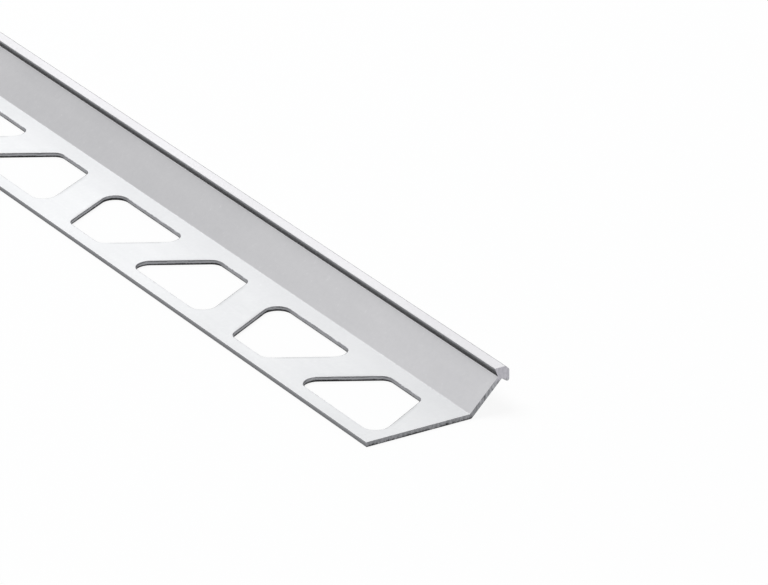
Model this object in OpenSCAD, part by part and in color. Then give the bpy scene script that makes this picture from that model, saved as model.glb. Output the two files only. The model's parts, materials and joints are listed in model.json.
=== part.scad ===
// Tile edge trim: one bar of extruded aluminium with a punched anchoring leg, a web that rises outwards
// from the fold, and a solid head along the top of the web that stays in view as the edge of the tiling.
// The bar lies along X on its leg, with the free edge of the leg at -Y, the head at +Y and +Z up.
// The origin is at the middle of the underside.

/* [Bar] */
// Length that the bar is cut to
bar_length = 1000; // [250:50:3000]
// Height of the edge, from the underside of the leg to the top of the head
edge_height = 9; // [6:0.5:15]

/* [Anchoring leg] */
// Width of the leg, from its free edge to the fold
leg_width = 22.6; // [18:0.2:32]
// Thickness of the leg
leg_thickness = 1; // [0.8:0.1:1.4]
// Rounding of the two corners of the free edge
leg_edge_round = 0.15; // [0.05:0.05:0.35]

/* [Web] */
// Thickness of the web
web_thickness = 1; // [0.8:0.1:1.4]
// Angle at which the web rises from the leg
web_angle = 45; // [40:1:50]
// Rounding inside the fold between leg and web
fold_inner_round = 0.3; // [0.1:0.1:1]
// Rounding outside the fold
fold_outer_round = 0.8; // [0.2:0.1:1.4]

/* [Head] */
// Reach of the head, from its outer side to the nose and from its top to the end of the lip
head_reach = 3.15; // [2.5:0.05:3.5]
// Bevel between the top and the outer side
head_bevel = 0.8; // [0.3:0.1:1.2]
// Undercut behind the nose and behind the lip
head_undercut = 23; // [15:1:35]
// Rounding of the nose and of the lip
head_round = 0.25; // [0.2:0.05:0.6]

/* [Perforation] */
// Distance from one hole to the next, which points the other way
hole_pitch = 31.5; // [28:0.5:45]
// Width of the sloping struts between the holes
strut_width = 9.2; // [6:0.2:12]
// Angle of the struts to the length of the bar
strut_angle = 60; // [52:1:72]
// Rounding of the corners of a hole
hole_round = 2.4; // [0.6:0.2:3]
// Land between the holes and the free edge
edge_land = 3; // [2:0.2:6]
// Land between the holes and the fold
fold_land = 4; // [2:0.2:6]
// Least land between a hole and a sawn end
end_land = 3; // [2:0.5:20]

/* [Hidden] */
$fn = 48;
// Length by which a punch runs past both faces of the leg
punch_clear = 1;
// Amount by which a rounding overlaps the sloping side that runs into it
blend = 0.0005;

// Directions in a section and in the outline of a hole
right = [1, 0];
up = [0, 1];

// The middle line of the web runs through the outer corner of the head
web_rise = edge_height - leg_thickness + web_thickness / 2 * cos(web_angle);
bar_width = leg_width + web_thickness / 2 * sin(web_angle) + web_rise / tan(web_angle);

// The inner and outer corners of the fold, before they are rounded
fold_inner = [leg_width, leg_thickness];
fold_outer = [leg_width + (web_thickness - leg_thickness * cos(web_angle)) / sin(web_angle), 0];

// One hole is a trapezium, given by its depth across the leg and half of each side along the leg
hole_depth = leg_width - edge_land - fold_land;
hole_mean = hole_pitch - strut_width / sin(strut_angle);
hole_long = (hole_mean + hole_depth / tan(strut_angle)) / 2;
hole_short = (hole_mean - hole_depth / tan(strut_angle)) / 2;

// The row of holes starts one land away from the +X end
hole_reach = hole_long - hole_round / tan(strut_angle / 2) + hole_round;
first_hole = bar_length / 2 - end_land - hole_reach;
hole_count = 1 + floor((bar_length - 2 * end_land - 2 * hole_reach) / hole_pitch);

// Point at a distance from another, in a direction given by its angle
function polar(from, distance, angle) = from + distance * [cos(angle), sin(angle)];

// The same point on the other side of the line that halves the head
function across(point) = [point[1], point[0]];

// The same point on the other side of the line that halves a hole
function opposite(point) = [-point[0], point[1]];

// Disc that rounds a corner: it touches one side at the foot, and lies on the inward side of it
module corner_disc(foot, inward, radius) {
    translate(foot + inward * (radius + blend))
        circle(radius + blend);
}

// What a rounding of the fold adds inside it or takes away outside it: the corner, less the disc
module fold_corner(corner, radius) {
    run = radius * tan(web_angle / 2);
    foot = corner - run * right;
    sunk = leg_thickness / 2 * up;
    difference() {
        polygon([
            foot - sunk,
            corner - sunk,
            polar(corner, run, web_angle) - sunk,
            polar(corner, run, web_angle),
            foot + radius * up
        ]);
        corner_disc(foot, up, radius);
    }
}

// Leg and web as one folded strip, seen along the bar with the free edge at the left
module strip_section() {
    low_center = leg_edge_round * (right + up);
    high_center = low_center + (leg_thickness - 2 * leg_edge_round) * up;
    web_end = polar([bar_width, edge_height], -head_reach / 2, web_angle);
    difference() {
        polygon([
            low_center - leg_edge_round * up,
            fold_outer,
            polar(web_end, web_thickness / 2, web_angle - 90),
            polar(web_end, web_thickness / 2, web_angle + 90),
            fold_inner,
            high_center + leg_edge_round * up,
            high_center,
            high_center - leg_edge_round * right,
            low_center - leg_edge_round * right,
            low_center
        ]);
        fold_corner(fold_outer, fold_outer_round);
    }
    for (center = [low_center, high_center])
        translate(center)
            circle(leg_edge_round);
    fold_corner(fold_inner, fold_inner_round);
}

// Head, drawn from its outer corner: top and side are alike, so the lip is the nose turned over
module head_section() {
    nose_foot = (head_round - head_reach) * right;
    nose_center = nose_foot - head_round * up;
    nose_back = polar(nose_center, head_round, 180 + head_undercut);
    root = (nose_back[0] * cos(head_undercut) + nose_back[1] * sin(head_undercut))
        / (cos(head_undercut) + sin(head_undercut)) * (right + up);
    polygon([
        root,
        across(nose_back),
        across(nose_center),
        across(nose_foot),
        -head_bevel * up,
        -head_bevel * right,
        nose_foot,
        nose_center,
        nose_back
    ]);
    corner_disc(nose_foot, -up, head_round);
    corner_disc(across(nose_foot), -right, head_round);
}

// Whole section of the bar
module bar_section() {
    strip_section();
    translate([bar_width, edge_height])
        head_section();
}

// Outline of one hole about its middle, with the long side towards the free edge
module hole_outline() {
    long_foot = [hole_long - hole_round / tan(strut_angle / 2), -hole_depth / 2];
    short_foot = [hole_short - hole_round * tan(strut_angle / 2), hole_depth / 2];
    long_center = long_foot + hole_round * up;
    short_center = short_foot - hole_round * up;
    half = [
        long_foot,
        long_center,
        polar(long_center, hole_round, 90 - strut_angle),
        polar(short_center, hole_round, 90 - strut_angle),
        short_center,
        short_foot
    ];
    last = len(half) - 1;
    polygon(concat(half, [for (i = [last:-1:0]) opposite(half[i])]));
    for (foot = [long_foot, opposite(long_foot)])
        corner_disc(foot, up, hole_round);
    for (foot = [short_foot, opposite(short_foot)])
        corner_disc(foot, -up, hole_round);
}

// Row of punches through the leg, each turned half round from the one before
module hole_row() {
    for (i = [0:hole_count - 1])
        translate([first_hole - i * hole_pitch, edge_land + hole_depth / 2, -punch_clear])
            rotate(i % 2 * 180)
                linear_extrude(leg_thickness + 2 * punch_clear)
                    hole_outline();
}

// The bar: its section drawn out along X, with the leg punched
module trim_bar() {
    color("gainsboro")
        translate([0, -bar_width / 2, 0])
            difference() {
                translate([-bar_length / 2, 0, 0])
                    rotate([90, 0, 90])
                        linear_extrude(bar_length)
                            bar_section();
                hole_row();
            }
}

trim_bar();
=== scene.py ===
# %% [markdown]
# # A tile edge trim
# This lesson dresses one bar of tile edge trim: a strip of extruded aluminium with a punched leg that
# is bedded under the tiles, a web that leans outwards, and a small solid head that stays in view.
# The bar's exact solid was drawn elsewhere and arrives as a frame. It is only measured here, never
# moved. Everything is in metres, with X along the bar, Y from the free edge to the head, and Z up.

# %% Load the frame and measure it
import json
import math

import bmesh
import bpy
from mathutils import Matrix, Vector


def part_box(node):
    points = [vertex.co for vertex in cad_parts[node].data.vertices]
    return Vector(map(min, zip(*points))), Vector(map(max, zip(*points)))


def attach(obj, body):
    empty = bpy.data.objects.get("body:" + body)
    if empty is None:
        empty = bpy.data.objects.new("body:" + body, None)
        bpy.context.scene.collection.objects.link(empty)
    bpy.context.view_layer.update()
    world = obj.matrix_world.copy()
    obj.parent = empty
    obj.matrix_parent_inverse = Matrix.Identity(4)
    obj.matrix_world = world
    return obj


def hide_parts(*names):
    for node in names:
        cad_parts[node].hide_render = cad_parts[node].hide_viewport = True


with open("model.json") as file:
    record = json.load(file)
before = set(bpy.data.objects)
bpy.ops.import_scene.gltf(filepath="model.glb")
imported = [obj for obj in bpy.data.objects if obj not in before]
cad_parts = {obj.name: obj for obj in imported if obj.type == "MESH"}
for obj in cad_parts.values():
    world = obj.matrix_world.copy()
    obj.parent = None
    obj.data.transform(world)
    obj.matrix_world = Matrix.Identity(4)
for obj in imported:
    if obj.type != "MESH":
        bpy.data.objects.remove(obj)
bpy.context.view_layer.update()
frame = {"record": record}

MM = 0.001
bar_low, bar_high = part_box("trim_bar")
bar_length, bar_width, edge_height = bar_high - bar_low
print(f"bar {bar_length / MM:.1f} x {bar_width / MM:.2f} x {edge_height / MM:.2f} mm")

# %% [markdown]
# ## The section, corner by corner
# The real bar is pushed through a die, so its section is the same all along. It could be traced from a
# picture, but a drawing needs only ten corners, each with the radius that the die gives it. The metal is
# 1 mm thick and the web leans out at 45 degrees. The middle of the web runs to the outer corner of the
# head. The head reaches as far down as it reaches inwards, and both its nose and its lip are undercut,
# the lip a little more. The height and the width come from the frame.

# %% Corners of the leg and the fold
metal = 1.0 * MM
lean = math.radians(45)
free_edge, outer_side = bar_low.y, bar_high.y
web_half = metal / 2 / math.sin(lean)
fold_inner = outer_side - (edge_height - metal) / math.tan(lean) - web_half
fold_outer = fold_inner + metal * math.tan(lean / 2)
print(f"the leg is {(fold_inner - free_edge) / MM:.2f} mm wide, up to the fold")

# %% Corners of the head
head_reach, head_bevel = 3.15 * MM, 0.8 * MM
nose_round, lip_round = 0.25 * MM, 0.42 * MM
nose_undercut, lip_undercut = math.radians(23), math.radians(35)


def hook(radius, undercut):
    """How far a flat of the head would reach unrounded, and how deep the web meets its undercut."""
    sharp = head_reach - radius + radius / math.tan((math.pi / 2 - undercut) / 2)
    return sharp, (sharp - web_half) / (1 + math.tan(undercut))


nose_sharp, root_depth = hook(nose_round, nose_undercut)
lip_sharp, notch_depth = hook(lip_round, lip_undercut)
print(f"undercuts {root_depth / MM:.2f} mm below the top and {notch_depth / MM:.2f} mm behind the lip")

# %% The section as a list
EDGE_ROUND, FOLD_IN_ROUND, FOLD_OUT_ROUND = 0.15 * MM, 0.3 * MM, 0.8 * MM
CREASE_ROUND, BEVEL_ROUND = 0.1 * MM, 0.55 * MM
section_corners = [
    (Vector((0, free_edge, 0)), EDGE_ROUND),
    (Vector((0, fold_outer, 0)), FOLD_OUT_ROUND),
    (Vector((0, outer_side - notch_depth, edge_height - notch_depth - web_half)), CREASE_ROUND),
    (Vector((0, outer_side, edge_height - lip_sharp)), lip_round),
    (Vector((0, outer_side, edge_height - head_bevel)), BEVEL_ROUND),
    (Vector((0, outer_side - head_bevel, edge_height)), BEVEL_ROUND),
    (Vector((0, outer_side - nose_sharp, edge_height)), nose_round),
    (Vector((0, outer_side - root_depth - web_half, edge_height - root_depth)), CREASE_ROUND),
    (Vector((0, fold_inner, metal)), FOLD_IN_ROUND),
    (Vector((0, free_edge, metal)), EDGE_ROUND),
]
print(f"{len(section_corners)} corners round the section")

# %% [markdown]
# ## Rounded outlines
# Every outline here is straight sides with true arcs between them. A vertex bevel would stretch its arc
# wherever the corner isn't square, so each arc is worked out instead: its centre lies on the line that
# halves the corner, and one point is set for every few degrees of turn. The outline is then drawn the
# way it is by hand, as one vertex that is extruded from point to point and closed with a face.

# %% Helpers for outlines
TURN_PER_POINT = math.radians(8)
MERGE = 0.0001 * MM


def rounded(corners):
    """The outline's points, with each (corner, radius) turned into an arc."""
    points = []
    for i, (corner, radius) in enumerate(corners):
        back = (corners[i - 1][0] - corner).normalized()
        ahead = (corners[(i + 1) % len(corners)][0] - corner).normalized()
        half = back.angle(ahead) / 2
        centre = corner + (back + ahead).normalized() * (radius / math.sin(half))
        first = corner + back * (radius / math.tan(half)) - centre
        last = corner + ahead * (radius / math.tan(half)) - centre
        steps = max(2, round((math.pi - 2 * half) / TURN_PER_POINT))
        points += [centre + radius * first.slerp(last, k / steps) for k in range(steps + 1)]
    return points


def trace(name, points):
    """A new piece with one face inside the outline, left in edit mode with all of it selected."""
    bpy.ops.object.select_all(action="DESELECT")
    bpy.ops.mesh.primitive_plane_add(size=MM, location=points[0])
    piece = bpy.context.object
    piece.name = piece.data.name = name
    bpy.ops.object.transform_apply(location=True, rotation=True, scale=True)
    bpy.ops.object.mode_set(mode="EDIT")
    bpy.ops.mesh.select_mode(type="VERT")
    bpy.ops.mesh.select_all(action="SELECT")
    bpy.ops.mesh.merge(type="CENTER")
    for here, there in zip(points, points[1:] + points[:1]):
        bpy.ops.mesh.extrude_region_move(TRANSFORM_OT_translate={"value": there - here})
    bpy.ops.mesh.select_all(action="SELECT")
    bpy.ops.mesh.remove_doubles(threshold=MERGE)
    bpy.ops.mesh.edge_face_add()
    return piece


def draw_out(way):
    """The face in hand drawn out into a closed bar, with its faces pointing outwards."""
    bpy.ops.mesh.extrude_region_move(TRANSFORM_OT_translate={"value": way})
    bpy.ops.mesh.select_all(action="SELECT")
    bpy.ops.mesh.normals_make_consistent(inside=False)


print(f"arcs get a point for every {math.degrees(TURN_PER_POINT):.0f} degrees of turn")

# %% [markdown]
# ## Where the holes are
# The leg is punched so that the tile adhesive can grip through it. The places of the holes could be typed
# again, but the frame's record lists the first ones as openings, so the place of the first hole and the
# pitch are read there and always fit the solid.

# %% Read the pitch from the record
openings = {o["name"]: o["box_m"] for o in frame["record"]["physics"]["openings"]}


def hole_x(name):
    """Middle of a recorded hole along the bar."""
    low, high = openings[name]
    return (low[0] + high[0]) / 2


first_hole = hole_x("perforation_01")
hole_pitch = first_hole - hole_x("perforation_02")
hole_count = 1 + int((first_hole - hole_pitch / 2 - bar_low.x) / hole_pitch)
print(f"{hole_count} holes, {hole_pitch / MM:.2f} mm apart")

# %% [markdown]
# ## The bar, drawn out and cut into cells
# Drawing the section out along X does what the die does. A single face with a long row of holes in it
# would shade and export badly, so the bar also gets a plain cut across it between every two holes.

# %% Draw the bar out
outline = [point + Vector((bar_low.x, 0, 0)) for point in rounded(section_corners)]
trim = trace("trim_bar_finished", outline)
draw_out((bar_length, 0, 0))
for i in range(hole_count + 1):
    bpy.ops.mesh.select_all(action="SELECT")
    station = first_hole + (0.5 - i) * hole_pitch
    bpy.ops.mesh.bisect(plane_co=(station, 0, 0), plane_no=(1, 0, 0))
bpy.ops.object.mode_set(mode="OBJECT")
print(f"{len(outline)} points round the section, {len(trim.data.polygons)} faces before punching")

# %% [markdown]
# ## The punch and its two rows
# The holes are trapeziums with round corners, each turned half round from the last, so that the metal
# left between them is a zigzag of struts. The sharp corners are rounder than the blunt ones, because a
# punch breaks there first. One punch is traced and drawn out through the leg, a second one is turned for
# the holes in between, and an Array modifier repeats each along the bar. A Boolean then does the
# punching.

# %% Size of a hole
strut_width, strut_lean = 9.2 * MM, math.radians(60)
edge_land, fold_land = 3.0 * MM, 4.0 * MM
long_round, short_round = 2.8 * MM, 2.4 * MM
hole_low, hole_high = free_edge + edge_land, fold_inner - fold_land
slant = (hole_high - hole_low) / math.tan(strut_lean)
hole_mean = hole_pitch - strut_width / math.sin(strut_lean)
long_side, short_side = hole_mean + slant, hole_mean - slant
print(f"sides of {long_side / MM:.2f} and {short_side / MM:.2f} mm before rounding")

# %% Make the punches
PUNCH_CLEAR = 2.0 * MM


def punch_row(name, centre, long_y, short_y, count):
    """A row of punches two pitches apart, with the long side of the trapezium at long_y."""
    corners = [
        (Vector((centre - long_side / 2, long_y, -PUNCH_CLEAR)), long_round),
        (Vector((centre + long_side / 2, long_y, -PUNCH_CLEAR)), long_round),
        (Vector((centre + short_side / 2, short_y, -PUNCH_CLEAR)), short_round),
        (Vector((centre - short_side / 2, short_y, -PUNCH_CLEAR)), short_round),
    ]
    row = trace(name, rounded(corners))
    draw_out((0, 0, metal + 2 * PUNCH_CLEAR))
    bpy.ops.object.mode_set(mode="OBJECT")
    bpy.ops.object.modifier_add(type="ARRAY")
    array = row.modifiers[-1]
    array.count = count
    array.use_relative_offset = False
    array.use_constant_offset = True
    array.constant_offset_displace = (-2 * hole_pitch, 0, 0)
    bpy.ops.object.modifier_apply(modifier=array.name)
    return row


rows = [
    punch_row("punches", first_hole, hole_low, hole_high, (hole_count + 1) // 2),
    punch_row("punches_turned", first_hole - hole_pitch, hole_high, hole_low, hole_count // 2),
]
print(f"{len(rows)} rows of punches")

# %% Punch the leg


def take_up(piece):
    """Makes a piece the only one selected."""
    bpy.ops.object.select_all(action="DESELECT")
    piece.select_set(True)
    bpy.context.view_layer.objects.active = piece


for row in rows:
    take_up(trim)
    bpy.ops.object.modifier_add(type="BOOLEAN")
    stroke = trim.modifiers[-1]
    stroke.operation = "DIFFERENCE"
    stroke.solver = "EXACT"
    stroke.object = row
    bpy.ops.object.modifier_apply(modifier=stroke.name)
    take_up(row)
    bpy.ops.object.delete()
print(f"{len(trim.data.polygons)} faces after punching")

# %% [markdown]
# ## Edges that catch the light
# No real edge is sharp. A punch drags the skin down a little where it goes in, so the upper rim of each
# hole is rolled over, and the last of the metal breaks out on a slant, so the lower rim is flared. The
# sawn ends only have their burr taken off. A Bevel modifier would treat all of them alike, so the edges
# are picked by their place and bevelled in edit mode.

# %% Helpers that pick edges
CLOSE = 0.005 * MM
CORNER = math.radians(30)


def on_rim(height):
    """A test for edges that go round a hole at this height."""

    def test(edge):
        return all(
            abs(end.co.z - height) < CLOSE and hole_low - CLOSE < end.co.y < hole_high + CLOSE
            for end in edge.verts
        )

    return test


def at_end(edge):
    """A test for edges that go round a sawn end."""
    return any(all(abs(end.co.x - x) < CLOSE for end in edge.verts) for x in (bar_low.x, bar_high.x))


def pick_edges(test):
    """Selects the corner edges that pass a test, and counts them."""
    bpy.ops.mesh.select_mode(type="EDGE")
    bpy.ops.mesh.select_all(action="DESELECT")
    mesh = bmesh.from_edit_mesh(trim.data)
    mesh.normal_update()
    picked = [edge for edge in mesh.edges if edge.calc_face_angle(0) > CORNER and test(edge)]
    for edge in picked:
        edge.select_set(True)
    bmesh.update_edit_mesh(trim.data)
    return len(picked)


print(f"an edge that turns by more than {math.degrees(CORNER):.0f} degrees counts as a corner")

# %% Roll and deburr the edges
ROLLED, FLARED, DEBURRED = 0.2 * MM, 0.22 * MM, 0.05 * MM
take_up(trim)
bpy.ops.object.mode_set(mode="EDIT")
for place, test, size, steps in (
    ("upper rims", on_rim(metal), ROLLED, 5),
    ("lower rims", on_rim(0), FLARED, 1),
    ("sawn ends", at_end, DEBURRED, 2),
):
    count = pick_edges(test)
    bpy.ops.mesh.bevel(offset=size, segments=steps, profile=0.5, affect="EDGES")
    print(f"{place}: {count} edges bevelled by {size / MM:.2f} mm")
bpy.ops.object.mode_set(mode="OBJECT")

# %% [markdown]
# ## Smooth arcs, flat flats
# The arcs should shade as curves and the flats as flats. Smoothing by angle does the first. On its own
# it would also bend the light at the edge of each flat, so a Weighted Normal modifier then lets the
# large faces decide.

# %% Smooth the bar and put it in its place
SMOOTH_BELOW = math.radians(35)
bpy.ops.object.shade_smooth_by_angle(angle=SMOOTH_BELOW)
bpy.ops.object.modifier_add(type="WEIGHTED_NORMAL")
weighted = trim.modifiers[-1]
weighted.keep_sharp = True
bpy.ops.object.modifier_apply(modifier=weighted.name)
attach(trim, "root")
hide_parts("trim_bar")
print(f"{sum(len(face.vertices) - 2 for face in trim.data.polygons)} triangles")

# %% [markdown]
# ## Helpers for materials
# All materials here are made of nodes and read Object coordinates, which on this bar are metres from its
# middle. They could be wired by hand in the shader editor, but a few short helpers keep the cells below
# readable: one adds a node with its settings, one does a sum, and others make noise or a colour. The
# values of a noise crowd round its middle, so most of it lies between two limits that are named here.

# %% Nodes and sums
NOISE_LOW, NOISE_MIDDLE, NOISE_HIGH = 0.3, 0.5, 0.7


def add_node(tree, kind, **settings):
    """A new node with its settings."""
    node = tree.nodes.new(kind)
    for name, value in settings.items():
        setattr(node, name, value)
    return node


def feed(tree, socket, value):
    """Links an output to a socket, or sets the socket to a plain value."""
    if isinstance(value, bpy.types.NodeSocket):
        tree.links.new(value, socket)
    else:
        socket.default_value = value


def maths(tree, operation, *values):
    """One sum, whose inputs are outputs of other nodes or numbers."""
    node = add_node(tree, "ShaderNodeMath", operation=operation)
    for socket, value in zip(node.inputs, values):
        feed(tree, socket, value)
    return node.outputs[0]


def between(tree, value, low, high, to_low, to_high):
    """A value carried from one range to another."""
    node = add_node(tree, "ShaderNodeMapRange")
    for socket, number in zip(node.inputs, (value, low, high, to_low, to_high)):
        feed(tree, socket, number)
    return node.outputs[0]


def spread(tree, value, to_low, to_high):
    """A noise, or another value from 0 to 1, carried to a range of its own."""
    return between(tree, value, NOISE_LOW, NOISE_HIGH, to_low, to_high)


print(f"most of a noise lies between {NOISE_LOW} and {NOISE_HIGH}")

# %% Places and noise


def surface_place(tree):
    """Where on the bar a point of the surface is."""
    return add_node(tree, "ShaderNodeTexCoord").outputs["Object"]


def axis_of(tree, name):
    """One coordinate of that place, in metres."""
    axes = add_node(tree, "ShaderNodeSeparateXYZ")
    tree.links.new(surface_place(tree), axes.inputs[0])
    return axes.outputs[name]


def noise(tree, scale, detail=2.0):
    """Cloudy noise from 0 to 1; its grains per metre differ along X, Y and Z where it is stretched."""
    mapping = add_node(tree, "ShaderNodeMapping")
    mapping.inputs["Scale"].default_value = scale
    tree.links.new(surface_place(tree), mapping.inputs["Vector"])
    node = add_node(tree, "ShaderNodeTexNoise")
    node.inputs["Scale"].default_value = 1.0
    node.inputs["Detail"].default_value = detail
    tree.links.new(mapping.outputs["Vector"], node.inputs["Vector"])
    return node.outputs[0]


print(f"patterns run from {bar_low.x:.1f} to {bar_high.x:.1f} m along the bar")

# %% Colours
COOL_GREY = (0.995, 1.0, 1.045)


def shade(tree, value, *stops):
    """A colour ramp through (place, grey or colour) stops; a grey gets the metal's cool cast."""
    node = add_node(tree, "ShaderNodeValToRGB")
    ramp = node.color_ramp
    while len(ramp.elements) < len(stops):
        ramp.elements.new(1.0)
    for element, (place, tone) in zip(ramp.elements, stops):
        element.position = place
        colour = tone if isinstance(tone, tuple) else [tone * share for share in COOL_GREY]
        element.color = (*colour, 1.0)
    tree.links.new(value, node.inputs[0])
    return node.outputs["Color"]


def lighten(tree, colour, factor):
    """A colour made lighter or darker by a factor."""
    node = add_node(tree, "ShaderNodeVectorMath", operation="SCALE")
    tree.links.new(colour, node.inputs[0])
    feed(tree, node.inputs["Scale"], factor)
    return node.outputs[0]


def mix(tree, share, first, second):
    """Two colours mixed, with this share of the second."""
    node = add_node(tree, "ShaderNodeMix", data_type="RGBA")
    colours = [socket for socket in node.inputs if socket.type == "RGBA"]
    for socket, value in zip([node.inputs[0], *colours], (share, first, second)):
        tree.links.new(value, socket)
    return next(socket for socket in node.outputs if socket.type == "RGBA")


print("shares of red, green and blue in a grey:", COOL_GREY)

# %% Groups


def new_group(name, inputs, outputs):
    """An empty node group, with the sockets that its inputs come from and its outputs go to."""
    group = bpy.data.node_groups.new(name, "ShaderNodeTree")
    for label, value in inputs.items():
        socket = group.interface.new_socket(label, in_out="INPUT", socket_type="NodeSocketFloat")
        socket.default_value = value
    for label in outputs:
        group.interface.new_socket(label, in_out="OUTPUT", socket_type="NodeSocketFloat")
    print("shared effect:", name)
    return group, add_node(group, "NodeGroupInput").outputs, add_node(group, "NodeGroupOutput").inputs


def use_group(tree, group, **values):
    """A group placed in a material, with its own values."""
    node = add_node(tree, "ShaderNodeGroup", node_tree=group)
    for label, value in values.items():
        feed(tree, node.inputs[label], value)
    return node.outputs


# %% Metal and relief


def new_metal(name, metallic):
    """A material with a metal shader, and its node tree and shader sockets."""
    material = bpy.data.materials.new(name)
    material.use_nodes = True
    tree = material.node_tree
    tree.nodes.clear()
    shader = add_node(tree, "ShaderNodeBsdfPrincipled")
    out = add_node(tree, "ShaderNodeOutputMaterial")
    tree.links.new(shader.outputs[0], out.inputs["Surface"])
    shader.inputs["Metallic"].default_value = metallic
    print("finish:", name)
    return material, tree, shader.inputs


def bump(tree, height, depth, normal):
    """Relief of a real depth in metres, fed to a shader's normal."""
    node = add_node(tree, "ShaderNodeBump")
    node.inputs["Strength"].default_value = 1.0
    node.inputs["Distance"].default_value = depth
    tree.links.new(height, node.inputs["Height"])
    tree.links.new(node.outputs[0], normal)


# %% [markdown]
# ## Three shared effects
# The skin of an extruded bar carries very fine lines along its length, from the die, and anodising leaves
# a soft cloudiness and a few pale specks on top. Those are on the flats, on the leg's edge and in the
# undercuts alike. Over the first stretch from a sawn end, a painted gradient of light changes the tone of
# the flats. Where the metal was cut or punched there is a grain instead, and the cut shows zones from its
# lower to its upper side. Each effect could be wired into every material again, but as a node group it is
# built once, and all the materials that use it agree.

# %% Drawn skin
SPECK_FROM, SPECK_FULL = 0.68, 0.76
drawn_skin, _, result = new_group("drawn_skin", {}, ["Tone", "Lines", "Specks"])
clouds = noise(drawn_skin, (40, 70, 70), 3.0)
streaks = noise(drawn_skin, (2, 420, 420), 1.0)
grit = noise(drawn_skin, (1100, 1100, 1100), 2.0)
lines = noise(drawn_skin, (9, 3400, 3400), 3.0)
tone = 0.0
for layer, share in ((clouds, 0.5), (streaks, 0.2), (grit, 0.2), (lines, 0.1)):
    tone = maths(drawn_skin, "MULTIPLY_ADD", layer, share, tone)
drawn_skin.links.new(tone, result["Tone"])
drawn_skin.links.new(lines, result["Lines"])
drawn_skin.links.new(between(drawn_skin, grit, SPECK_FROM, SPECK_FULL, 0.0, 1.0), result["Specks"])

# %% Painted light near the ends
DRIFT_REACH = 120.0 * MM
painted_end_light, given, result = new_group("painted_end_light", {"End": 1.0, "Middle": 1.0}, ["Gain"])
off_middle = maths(painted_end_light, "ABSOLUTE", axis_of(painted_end_light, "X"))
from_end = maths(painted_end_light, "SUBTRACT", bar_length / 2, off_middle)
gain = between(painted_end_light, from_end, 0.0, DRIFT_REACH, given["End"], given["Middle"])
painted_end_light.links.new(gain, result["Gain"])

# %% Cut zones
BLOTCH_SHARE, GRAIN_SHARE = 0.6, 0.4
cut_inputs = {"Height": 0.0, "Thickness": metal, "Ragged": 0.3}
cut_zones, given, result = new_group("cut_zones", cut_inputs, ["Level", "Grain"])
level = maths(cut_zones, "DIVIDE", given["Height"], given["Thickness"])
grain = noise(cut_zones, (2200, 2200, 900), 3.0)
blotch = noise(cut_zones, (380, 380, 900), 2.0)
fine = maths(cut_zones, "MULTIPLY", grain, GRAIN_SHARE)
rough = maths(cut_zones, "MULTIPLY_ADD", blotch, BLOTCH_SHARE, fine)
off_line = maths(cut_zones, "SUBTRACT", rough, NOISE_MIDDLE)
ragged_level = maths(cut_zones, "MULTIPLY_ADD", off_line, given["Ragged"], level)
cut_zones.links.new(ragged_level, result["Level"])
cut_zones.links.new(grain, result["Grain"])

# %% [markdown]
# ## Painted shade beside the struts' slanted edges
# As the punch goes in, it drags the skin of a strut down along both slanted edges, so a narrow strip
# beside them tilts away from the light. That dip is far too shallow to model, so its shade is painted as a
# darker tone. How far a point lies from the nearest slanted edge follows from the pitch and the lean of
# the struts, so no mask has to be painted.

# %% Places on a strut


def strut_place(tree):
    """How far a point is off the middle line of its strut, and how far towards a hole's long side."""
    along = maths(tree, "MULTIPLY_ADD", axis_of(tree, "X"), -1 / hole_pitch, first_hole / hole_pitch - 0.5)
    strut = maths(tree, "ROUND", along)
    way = maths(tree, "MULTIPLY_ADD", maths(tree, "PINGPONG", strut, 1.0), -2.0, 1.0)
    across = maths(tree, "SUBTRACT", axis_of(tree, "Y"), (hole_low + hole_high) / 2)
    leaning = maths(tree, "MULTIPLY", across, way)
    off_middle = maths(tree, "MULTIPLY", maths(tree, "SUBTRACT", along, strut), hole_pitch)
    off_line = maths(tree, "MULTIPLY_ADD", leaning, 1 / math.tan(strut_lean), off_middle)
    to_long_side = maths(tree, "MULTIPLY", leaning, maths(tree, "SIGN", off_line))
    off_line = maths(tree, "MULTIPLY", maths(tree, "ABSOLUTE", off_line), math.sin(strut_lean))
    return off_line, to_long_side


print(f"struts {strut_width / MM:.1f} mm wide lean at {math.degrees(strut_lean):.0f} degrees")

# %% Painted shade beside the slanted edges
ROLLOVER_SHADE_LOSS, ROLLOVER_SHADE_REACH, ROLLOVER_SHADE_FADE = 0.16, 0.95 * MM, 1.5 * MM
long_corner = long_round * (1 + math.cos(strut_lean))
short_corner = short_round * (1 - math.cos(strut_lean))
half_slant = (hole_high - hole_low - long_corner - short_corner) / 2
slant_offset = (long_corner - short_corner) / 2
last_strut = first_hole - (hole_count - 0.5) * hole_pitch


def painted_rollover_shade(tree):
    """How much of the tone is left where shade is painted near the slanted edges of the struts."""
    off_line, to_long_side = strut_place(tree)
    from_edge = maths(tree, "ABSOLUTE", maths(tree, "SUBTRACT", off_line, strut_width / 2))
    loss = between(tree, from_edge, ROLLED, ROLLOVER_SHADE_REACH, ROLLOVER_SHADE_LOSS, 0.0)
    along_slant = maths(tree, "ABSOLUTE", maths(tree, "ADD", to_long_side, slant_offset))
    fade = between(tree, along_slant, half_slant - ROLLOVER_SHADE_FADE, half_slant, 1.0, 0.0)
    beside_holes = maths(tree, "GREATER_THAN", axis_of(tree, "X"), last_strut)
    loss = maths(tree, "MULTIPLY", loss, maths(tree, "MULTIPLY", fade, beside_holes))
    return maths(tree, "SUBTRACT", 1.0, loss)


# Beside their slanted edges the struts carry painted shade.
print(f"struts are duller up to {ROLLOVER_SHADE_REACH / MM:.2f} mm from their slanted edges")
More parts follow.
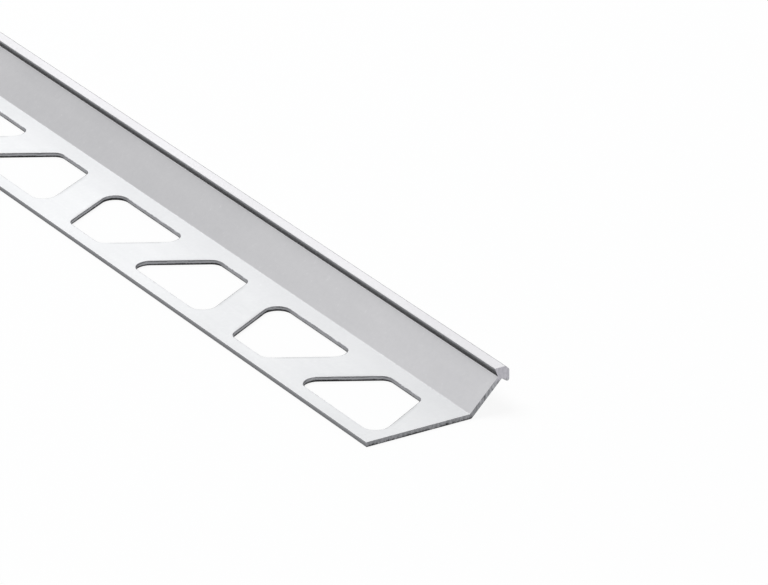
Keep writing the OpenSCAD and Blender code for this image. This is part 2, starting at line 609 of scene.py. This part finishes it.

# %% [markdown]
# ## Satin and rubbed skin
# All of the bar is anodised satin silver. The web lies sheltered between leg and head and keeps its sheen,
# so it is nearly all metal and shows the grey of the room. The leg and the head rub on other bars, and
# fine scuffs scatter the light there, so they are more matt and look whiter. Near the sawn ends the
# painted light makes the leg and the head darker and the web lighter, and away from the ends it makes the
# leg the palest. One plain silver would do from far away, but it would look like paint: here the tone
# varies by a few parts in a hundred, and the gloss with it.

# %% Satin and rubbed skin
SATIN_SILVERS = ((0.8275, 0.826, 0.847), (0.888, 0.885, 0.905))
LEG_SILVERS = ((0.822, 0.826, 0.837), (0.883, 0.885, 0.894))
HEAD_SILVERS = ((0.839, 0.826, 0.845), (0.899, 0.885, 0.903))
DULL_TONE, PALE_TONE = 0.38, 0.62
SPECK_GAIN = 0.06
LINE_DEPTH = 0.002 * MM


def silver_skin(name, silvers, metallic, dull, shiny, end, middle, rollover_shaded=False):
    """Anodised silver: its roughness where dull and shiny, and the painted light on its tone at an end and
    in the middle.
    """
    material, tree, shader = new_metal(name, metallic)
    skin = use_group(tree, drawn_skin)
    gain = use_group(tree, painted_end_light, End=end, Middle=middle)["Gain"]
    # The leg's struts also get painted shade beside their slanted edges.
    if rollover_shaded:
        gain = maths(tree, "MULTIPLY", gain, painted_rollover_shade(tree))
    silver = shade(tree, skin["Tone"], *zip((DULL_TONE, PALE_TONE), silvers))
    specked = lighten(tree, silver, maths(tree, "MULTIPLY_ADD", skin["Specks"], SPECK_GAIN, 1.0))
    roughness = between(tree, skin["Tone"], DULL_TONE, PALE_TONE, dull, shiny)
    tree.links.new(lighten(tree, specked, gain), shader["Base Color"])
    tree.links.new(roughness, shader["Roughness"])
    bump(tree, skin["Lines"], LINE_DEPTH, shader["Normal"])
    return material


satin = silver_skin(
    "satin_skin", SATIN_SILVERS, metallic=0.9, dull=0.42, shiny=0.36, end=1.035, middle=0.92,
)
leg_flat = silver_skin(
    "leg_skin", LEG_SILVERS, metallic=0.15, dull=0.5, shiny=0.42, end=0.967, middle=1.105, rollover_shaded=True,
)
rubbed = silver_skin(
    "rubbed_skin", HEAD_SILVERS, metallic=0.15, dull=0.5, shiny=0.42, end=0.963, middle=1.055,
)

# %% [markdown]
# ## Worn edge
# The roundings at the bevel's edges turn away from the light, and their shade is painted as a fine dark
# line. A mask could draw that line, but the roundings already have faces of their own, so they get a
# finish of their own. Bare metal is darker than the skin, because it scatters less light.

# %% Painted shade on the bevel's edges
BEVEL_SHADE_DARK, BEVEL_SHADE_PALE = 0.32, 0.46
bevel_edge_shade, tree, shader = new_metal("bevel_edge_painted_shade", metallic=1.0)
skin = use_group(tree, drawn_skin)
bevel_shade_tone = shade(tree, skin["Tone"], (NOISE_LOW, BEVEL_SHADE_DARK), (NOISE_HIGH, BEVEL_SHADE_PALE))
tree.links.new(bevel_shade_tone, shader["Base Color"])
tree.links.new(spread(tree, skin["Lines"], 0.4, 0.3), shader["Roughness"])

# %% [markdown]
# ## Undercuts
# Behind the nose and behind the lip hardly any light gets in. Light alone would leave these faces too
# pale, so a ramp darkens them from the rounding to the crease: this is painted shade.
# Light alone would leave these faces too pale, so a ramp darkens them from the rounding to the crease.

# %% Undercut skin, with painted shade
UNDERCUT_SHADE_GREYS = (
    (0.03, 0.6), (0.1, 0.28), (0.25, 0.18), (0.36, 0.12), (0.5, 0.05), (0.8, 0.012), (1.0, 0.008),
)
shadowed, tree, shader = new_metal("undercut_painted_shade", metallic=0.4)
skin = use_group(tree, drawn_skin)
from_top = maths(tree, "SUBTRACT", edge_height, axis_of(tree, "Z"))
from_side = maths(tree, "SUBTRACT", outer_side, axis_of(tree, "Y"))
depth = maths(tree, "DIVIDE", maths(tree, "MINIMUM", from_top, from_side), root_depth)
# Painted shade: darker from the nose's rounding down to the crease.
tree.links.new(shade(tree, depth, *UNDERCUT_SHADE_GREYS), shader["Base Color"])
tree.links.new(spread(tree, skin["Tone"], 0.6, 0.5), shader["Roughness"])

# %% [markdown]
# ## Punched walls
# The punch shears the upper part of a hole's wall clean and tears the lower part, which is darker. On the
# slanted sides it tears more, in patches. There a dark band is painted below the rim, and the rims' upper
# faces are moved into it: this is painted shade where the rolled rim turns away from the light. The long
# sides get paler towards the rim. Which side a wall is on follows from the way that it faces, so one
# material serves every hole.

# %% Punched walls
TEAR_DEPTH, TEAR_LEAST, RIM_SHADE_SHIFT = 0.23 * MM, 0.3, 0.25 * MM
PATCH_LOW, PATCH_HIGH = 0.35, 0.65
punched, tree, shader = new_metal("punched_wall", metallic=1.0)
facing = add_node(tree, "ShaderNodeSeparateXYZ")
tree.links.new(add_node(tree, "ShaderNodeNewGeometry").outputs["True Normal"], facing.inputs[0])
on_slant = maths(tree, "ABSOLUTE", facing.outputs["X"])
on_top = maths(tree, "MULTIPLY", on_slant, maths(tree, "MAXIMUM", facing.outputs["Z"], 0.0))
patches = between(tree, noise(tree, (30, 60, 60)), PATCH_LOW, PATCH_HIGH, TEAR_LEAST, 1.0)
torn = maths(tree, "MULTIPLY", maths(tree, "SQRT", on_slant), patches)
height = maths(tree, "MULTIPLY_ADD", torn, -TEAR_DEPTH, axis_of(tree, "Z"))
# The upper faces of the slanted rims are moved down into the band of painted shade.
height = maths(tree, "MULTIPLY_ADD", on_top, -RIM_SHADE_SHIFT, height)

# %% Slanted walls and long walls
SLANT_FROM, SLANT_TO, LEAST = 0.2, 0.7, 0.0001
rise = maths(tree, "MULTIPLY", facing.outputs["Z"], facing.outputs["Z"])
sideways = maths(tree, "SQRT", maths(tree, "SUBTRACT", 1.0 + LEAST, rise))
turned = maths(tree, "DIVIDE", on_slant, sideways)
slant_share = between(tree, turned, SLANT_FROM, SLANT_TO, 0.0, 1.0)
print(f"walls turn from long to slanted where {SLANT_FROM} to {SLANT_TO} of the normal is along the bar")

# %% Greys of the walls
# From 0.76 to 0.86 of the height, the dark band below the slanted rims is painted shade.
SLANT_GREYS_WITH_RIM_SHADE = (
    (0.2, 0.015), (0.3, 0.14), (0.45, 0.36), (0.62, 0.36),
    (0.76, 0.17), (0.86, 0.12), (0.93, 0.4), (1.0, 0.78),
)
SIDE_GREYS = (
    (0.2, 0.015), (0.3, 0.14), (0.45, 0.35), (0.62, 0.36),
    (0.8, 0.34), (0.93, 0.4), (1.0, 0.82),
)
TORN_DEPTH = 0.02 * MM
cut = use_group(tree, cut_zones, Height=height, Ragged=0.5)
side_grey = shade(tree, cut["Level"], *SIDE_GREYS)
slant_grey = shade(tree, cut["Level"], *SLANT_GREYS_WITH_RIM_SHADE)
tree.links.new(mix(tree, slant_share, side_grey, slant_grey), shader["Base Color"])
tree.links.new(spread(tree, cut["Level"], 0.6, 0.42), shader["Roughness"])
bump(tree, cut["Grain"], TORN_DEPTH, shader["Normal"])
print(f"{len(SLANT_GREYS_WITH_RIM_SHADE)} greys from the torn foot of a slanted wall to its rim")

# %% [markdown]
# ## The leg's edge and the sawn ends
# The edge of the leg is duller than the flats. The ends are sawn: a saw leaves fine arcs, a speckle that
# is coarsest on the thin web, and a dark ragged burr along the underside, where its teeth come out. Their
# grey also rises from the leg's end to the head's end, which is painted shade. The arcs are a Wave texture
# in rings, whose centre is a saw's radius away from the bar.

# %% Edge of the leg
LEG_EDGE_GREYS = ((0.05, 0.12), (0.3, 0.2), (0.6, 0.23), (0.9, 0.32))
leg_edge, tree, shader = new_metal("leg_edge", metallic=1.0)
cut = use_group(tree, cut_zones, Height=axis_of(tree, "Z"), Ragged=0.2)
skin = use_group(tree, drawn_skin)
tree.links.new(shade(tree, cut["Level"], *LEG_EDGE_GREYS), shader["Base Color"])
tree.links.new(spread(tree, skin["Tone"], 0.5, 0.4), shader["Roughness"])

# %% Saw marks
SAW_RADIUS, SAW_PITCH, SAW_DEPTH = 150.0 * MM, 0.28 * MM, 0.006 * MM
WAVES_PER_UNIT = 20 / (2 * math.pi)
sawn, tree, shader = new_metal("sawn_end", metallic=1.0)
mapping = add_node(tree, "ShaderNodeMapping")
mapping.inputs["Location"].default_value = (0, SAW_RADIUS / 3, SAW_RADIUS)
tree.links.new(surface_place(tree), mapping.inputs["Vector"])
arcs = add_node(tree, "ShaderNodeTexWave", wave_type="RINGS", rings_direction="X")
arcs.inputs["Scale"].default_value = 1 / SAW_PITCH / WAVES_PER_UNIT
arcs.inputs["Distortion"].default_value = 0.6
tree.links.new(mapping.outputs["Vector"], arcs.inputs["Vector"])
marks = arcs.outputs[1]
bump(tree, marks, SAW_DEPTH, shader["Normal"])

# %% Speckle of the sawn ends
LEG_SPECKLE, WEB_SPECKLE, HEAD_SPECKLE, EVEN_TONE = 1.4, 2.6, 0.8, 0.95
LEG_TOP, WEB_FOOT, WEB_TOP, HEAD_FOOT = 0.1, 0.2, 0.62, 0.76
cut = use_group(tree, cut_zones, Height=axis_of(tree, "Z"), Thickness=edge_height, Ragged=0.24)
leg_to_web = between(tree, cut["Level"], LEG_TOP, WEB_FOOT, LEG_SPECKLE, WEB_SPECKLE)
web_to_head = between(tree, cut["Level"], WEB_TOP, HEAD_FOOT, WEB_SPECKLE, HEAD_SPECKLE)
coarse = maths(tree, "MINIMUM", leg_to_web, web_to_head)
off_middle = maths(tree, "SUBTRACT", cut["Grain"], NOISE_MIDDLE)
speckle = maths(tree, "MULTIPLY_ADD", off_middle, coarse, EVEN_TONE)
print(f"speckle of leg, web and head: {LEG_SPECKLE}, {WEB_SPECKLE}, {HEAD_SPECKLE}")

# %% Greys of the sawn ends, with painted shade by height
HEAD_GREY, MARK_GAIN = (0.485, 0.475, 0.51), 0.1
SAWN_BURR_AND_SHADE_GREYS = (
    (0.0, 0.05), (0.02, 0.1), (0.04, 0.26), (0.13, 0.27), (0.4, 0.31), (0.68, 0.36), (0.76, HEAD_GREY),
)
# Above the burr, the grey rising from the leg's end to the head's end is painted shade.
zones = shade(tree, cut["Level"], *SAWN_BURR_AND_SHADE_GREYS)
marked = maths(tree, "MULTIPLY_ADD", marks, MARK_GAIN, speckle)
tree.links.new(lighten(tree, zones, marked), shader["Base Color"])
tree.links.new(spread(tree, cut["Grain"], 0.4, 0.55), shader["Roughness"])
print(f"{len(SAWN_BURR_AND_SHADE_GREYS)} greys from the burr to the head")

# %% [markdown]
# ## Which face gets which finish
# The faces could be picked by hand, but there are thousands, and a face's place and the way it looks tell
# what it is: near the ends and looking along the bar it is sawn, inside the punched strip and not level it
# is a hole's wall or rim, and so on. What is left is the leg's skin up to the fold, and rubbed skin beyond
# it. The limits are parts of the face's normal, which is 1 where a face looks straight along an axis.

# %% Assign the materials
finishes = [rubbed, leg_flat, satin, bevel_edge_shade, shadowed, punched, leg_edge, sawn]
for finish in finishes:
    trim.data.materials.append(finish)
ALONG_BAR, LEVEL, STEEP, HALF, SLIGHT = 0.8, 0.999, 0.6, 0.5, 0.1


def in_undercut(depth, out, back):
    """Whether a face this far in from a flat of the head looks back under that flat."""
    return depth < root_depth and out < HALF and back < -SLIGHT


def on_bevel_edge(place, look):
    """Whether a face is on the rounding at either edge of the bevel."""
    turned = min(look.y, look.z) > SLIGHT and abs(look.y - look.z) > SLIGHT
    return turned and place.z > edge_height - head_bevel - BEVEL_ROUND


def finish_of(face):
    """The finish of one face, by its place and the way it looks."""
    place, look = face.center, face.normal
    if abs(place.x) > bar_length / 2 - DEBURRED and abs(look.x) > ALONG_BAR:
        return sawn
    if hole_low - FLARED - CLOSE < place.y < hole_high + FLARED + CLOSE and abs(look.z) < LEVEL:
        return punched
    if place.y < free_edge + EDGE_ROUND and look.y < -STEEP:
        return leg_edge
    behind_nose = in_undercut(edge_height - place.z, look.z, look.y)
    behind_lip = in_undercut(outer_side - place.y, look.y, look.z)
    if behind_nose or behind_lip:
        return shadowed
    # Faces on the bevel's roundings get the painted shade.
    if on_bevel_edge(place, look):
        return bevel_edge_shade
    if place.y > fold_inner and min(abs(look.y), abs(look.z)) > STEEP and look.y * look.z < 0:
        return satin
    return leg_flat if place.y < fold_inner else rubbed


tally = {finish.name: 0 for finish in finishes}
for face in trim.data.polygons:
    finish = finish_of(face)
    face.material_index = finishes.index(finish)
    tally[finish.name] += 1
print("faces by finish:", tally)

# %% [markdown]
# ## Floor and studio
# The bar lies on a plain white floor. A floor that is only lit would come out grey, so to the eye it is
# mostly a plain white, and the rest of it is ordinary matt white that takes the bar's shadow. In the
# metal's reflections the plain white has a smaller share, so that the outer side of the web mirrors the
# bar's own shadow and stands out from the floor. The backdrop beyond the bar is white too, to the eye and
# in reflections, and the room behind the camera is grey, so metal that leans towards the viewer goes
# darker. Matt faces are lit by the room's plain level and by one large softbox overhead.

# %% Floor
FLOOR_SIZE = 60.0
bpy.ops.object.select_all(action="DESELECT")
bpy.ops.mesh.primitive_plane_add(size=FLOOR_SIZE)
floor = bpy.context.object
floor.name = "floor"
print(f"floor {FLOOR_SIZE:.0f} m wide")

# %% White paper on the floor
WHITE, MATT_WHITE = (1, 1, 1, 1), (0.95, 0.95, 0.95, 1)
GLOW_SEEN, GLOW_MIRRORED = 0.88, 0.4


def largest(tree, *values):
    """The largest of several values."""
    top = values[0]
    for value in values[1:]:
        top = maths(tree, "MAXIMUM", top, value)
    return top


paper = bpy.data.materials.new("white_paper")
paper.use_nodes = True
tree = paper.node_tree
tree.nodes.clear()
matt = add_node(tree, "ShaderNodeBsdfDiffuse")
matt.inputs["Color"].default_value = MATT_WHITE
glow = add_node(tree, "ShaderNodeEmission")
glow.inputs["Color"].default_value = WHITE
path = add_node(tree, "ShaderNodeLightPath").outputs
seen = largest(tree, path["Is Camera Ray"], path["Is Transmission Ray"])
share = largest(
    tree,
    maths(tree, "MULTIPLY", seen, GLOW_SEEN),
    maths(tree, "MULTIPLY", path["Is Glossy Ray"], GLOW_MIRRORED),
)
blend = add_node(tree, "ShaderNodeMixShader")
tree.links.new(share, blend.inputs[0])
tree.links.new(matt.outputs[0], blend.inputs[1])
tree.links.new(glow.outputs[0], blend.inputs[2])
out = add_node(tree, "ShaderNodeOutputMaterial")
tree.links.new(blend.outputs[0], out.inputs["Surface"])
floor.data.materials.append(paper)
print(f"plain white on the floor: {GLOW_SEEN:.0%} to the eye, {GLOW_MIRRORED:.0%} in reflections")

# %% Studio
ROOM_LEVEL, ROOM_GREY, ROOM_TURN = 0.5, 0.64, 0.3
studio = bpy.data.worlds.new("studio")
bpy.context.scene.world = studio
studio.use_nodes = True
tree = studio.node_tree
tree.nodes.clear()
axes = add_node(tree, "ShaderNodeSeparateXYZ")
tree.links.new(add_node(tree, "ShaderNodeTexCoord").outputs["Generated"], axes.inputs[0])
mirrored = between(tree, axes.outputs["Y"], -ROOM_TURN, ROOM_TURN, ROOM_GREY, 1.0)
path = add_node(tree, "ShaderNodeLightPath").outputs
seen = largest(
    tree,
    path["Is Camera Ray"],
    path["Is Transmission Ray"],
    maths(tree, "MULTIPLY", path["Is Glossy Ray"], mirrored),
)
background = add_node(tree, "ShaderNodeBackground")
background.inputs["Color"].default_value = WHITE
tree.links.new(largest(tree, seen, ROOM_LEVEL), background.inputs["Strength"])
out = add_node(tree, "ShaderNodeOutputWorld")
tree.links.new(background.outputs[0], out.inputs["Surface"])
print(f"room level {ROOM_LEVEL}, grey {ROOM_GREY} behind the camera")

# %% Softbox
LAMP_PLACE, LAMP_SIZE, LAMP_WATTS = Vector((-0.5, -0.5, 2.8)), 2.0, 53.5
LAMP_COLOUR = (0.97, 0.99, 1.0)
lamp = bpy.data.lights.new("softbox", "AREA")
lamp.shape = "DISK"
lamp.size = LAMP_SIZE
lamp.energy = LAMP_WATTS
lamp.color = LAMP_COLOUR
softbox = bpy.data.objects.new("softbox", lamp)
softbox.location = LAMP_PLACE
softbox.rotation_euler = (-LAMP_PLACE).to_track_quat("-Z", "Y").to_euler()
softbox.visible_glossy = False
bpy.context.scene.collection.objects.link(softbox)
print(f"softbox of {LAMP_SIZE:.0f} m, {LAMP_PLACE.length:.2f} m from the middle of the bar")

# %% [markdown]
# ## The camera
# The picture is taken with a long lens from a good metre away, looking down over the leg's near corner.
# The camera could be typed in as a place and three angles. It is placed by its direction, its distance
# and the point that it aims at, measured from that corner, so that each number means something.

# %% Camera
VIEW_AZIMUTH, VIEW_ELEVATION = math.radians(58.064), math.radians(24.388)
VIEW_DISTANCE = 1155.8 * MM
AIM_RIGHT, AIM_UP = 3.267 * MM, 28.469 * MM
LENS, SENSOR = 294.72, 36.0
back = Vector((
    math.sin(VIEW_AZIMUTH) * math.cos(VIEW_ELEVATION),
    -math.cos(VIEW_AZIMUTH) * math.cos(VIEW_ELEVATION),
    math.sin(VIEW_ELEVATION),
))
right = Vector((math.cos(VIEW_AZIMUTH), math.sin(VIEW_AZIMUTH), 0))
up = back.cross(right)
near_corner = Vector((bar_high.x, free_edge, 0))
eye = bpy.data.cameras.new("camera")
eye.lens = LENS
eye.sensor_width = SENSOR
camera = bpy.data.objects.new("camera", eye)
camera.location = near_corner + AIM_RIGHT * right + AIM_UP * up + VIEW_DISTANCE * back
camera.rotation_euler = (-back).to_track_quat("-Z", "Y").to_euler()
bpy.context.scene.collection.objects.link(camera)
bpy.context.scene.camera = camera
bpy.context.scene.view_settings.view_transform = "Standard"
print(f"camera {VIEW_DISTANCE:.2f} m away with a lens of {LENS:.0f} mm")
